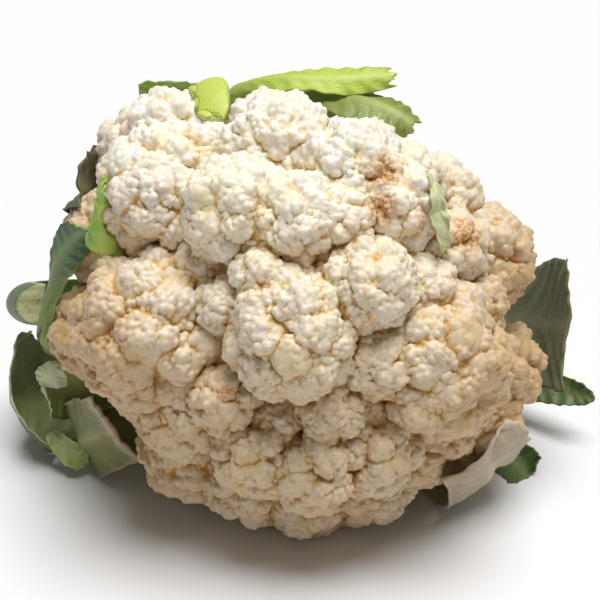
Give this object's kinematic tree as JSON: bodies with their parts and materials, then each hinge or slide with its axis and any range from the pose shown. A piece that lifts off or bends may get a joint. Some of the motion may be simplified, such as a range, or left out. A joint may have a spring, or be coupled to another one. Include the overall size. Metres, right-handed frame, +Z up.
{
  "type": "cauliflower",
  "caption": "Whole head of cauliflower with a domed white curd of fused florets, a short cut stem and a ring of trimmed green leaves, lying on its side.",
  "frame": {"origin": "middle of the flat spot under the lowest floret, on the surface that the head lies on", "axes": "+Z up; the crown of the curd faces -Y and tips upwards by 28 degrees, and the cut stem points to +Y; +X is to the right of someone who faces the crown"},
  "size_m": [0.2411, 0.1664, 0.1563],
  "materials": {
    "curd": "creamy white curd, granular, warmer in the crevices",
    "stem": "pale green stalk with a moist cut face",
    "leaf": "green leaf with a waxy bloom, paler ribs and petioles"
  },
  "bodies": {
    "root": {"curd": "curd", "stem": "stem", "leaf_left_long": "leaf", "leaf_left_back": "leaf", "leaf_left_stub": "leaf", "leaf_left_outer": "leaf", "leaf_left_curl": "leaf", "leaf_left_low": "leaf", "leaf_top_sliver": "leaf", "leaf_top_tongue": "leaf", "leaf_top_long": "leaf", "leaf_top_right": "leaf", "leaf_right_broad": "leaf", "leaf_right_tip": "leaf", "leaf_right_low": "leaf", "leaf_right_hug": "leaf", "leaf_foot_right": "leaf", "leaf_foot_left": "leaf", "leaf_back_upper": "leaf", "leaf_back_right": "leaf"}
  },
  "joints": []
}
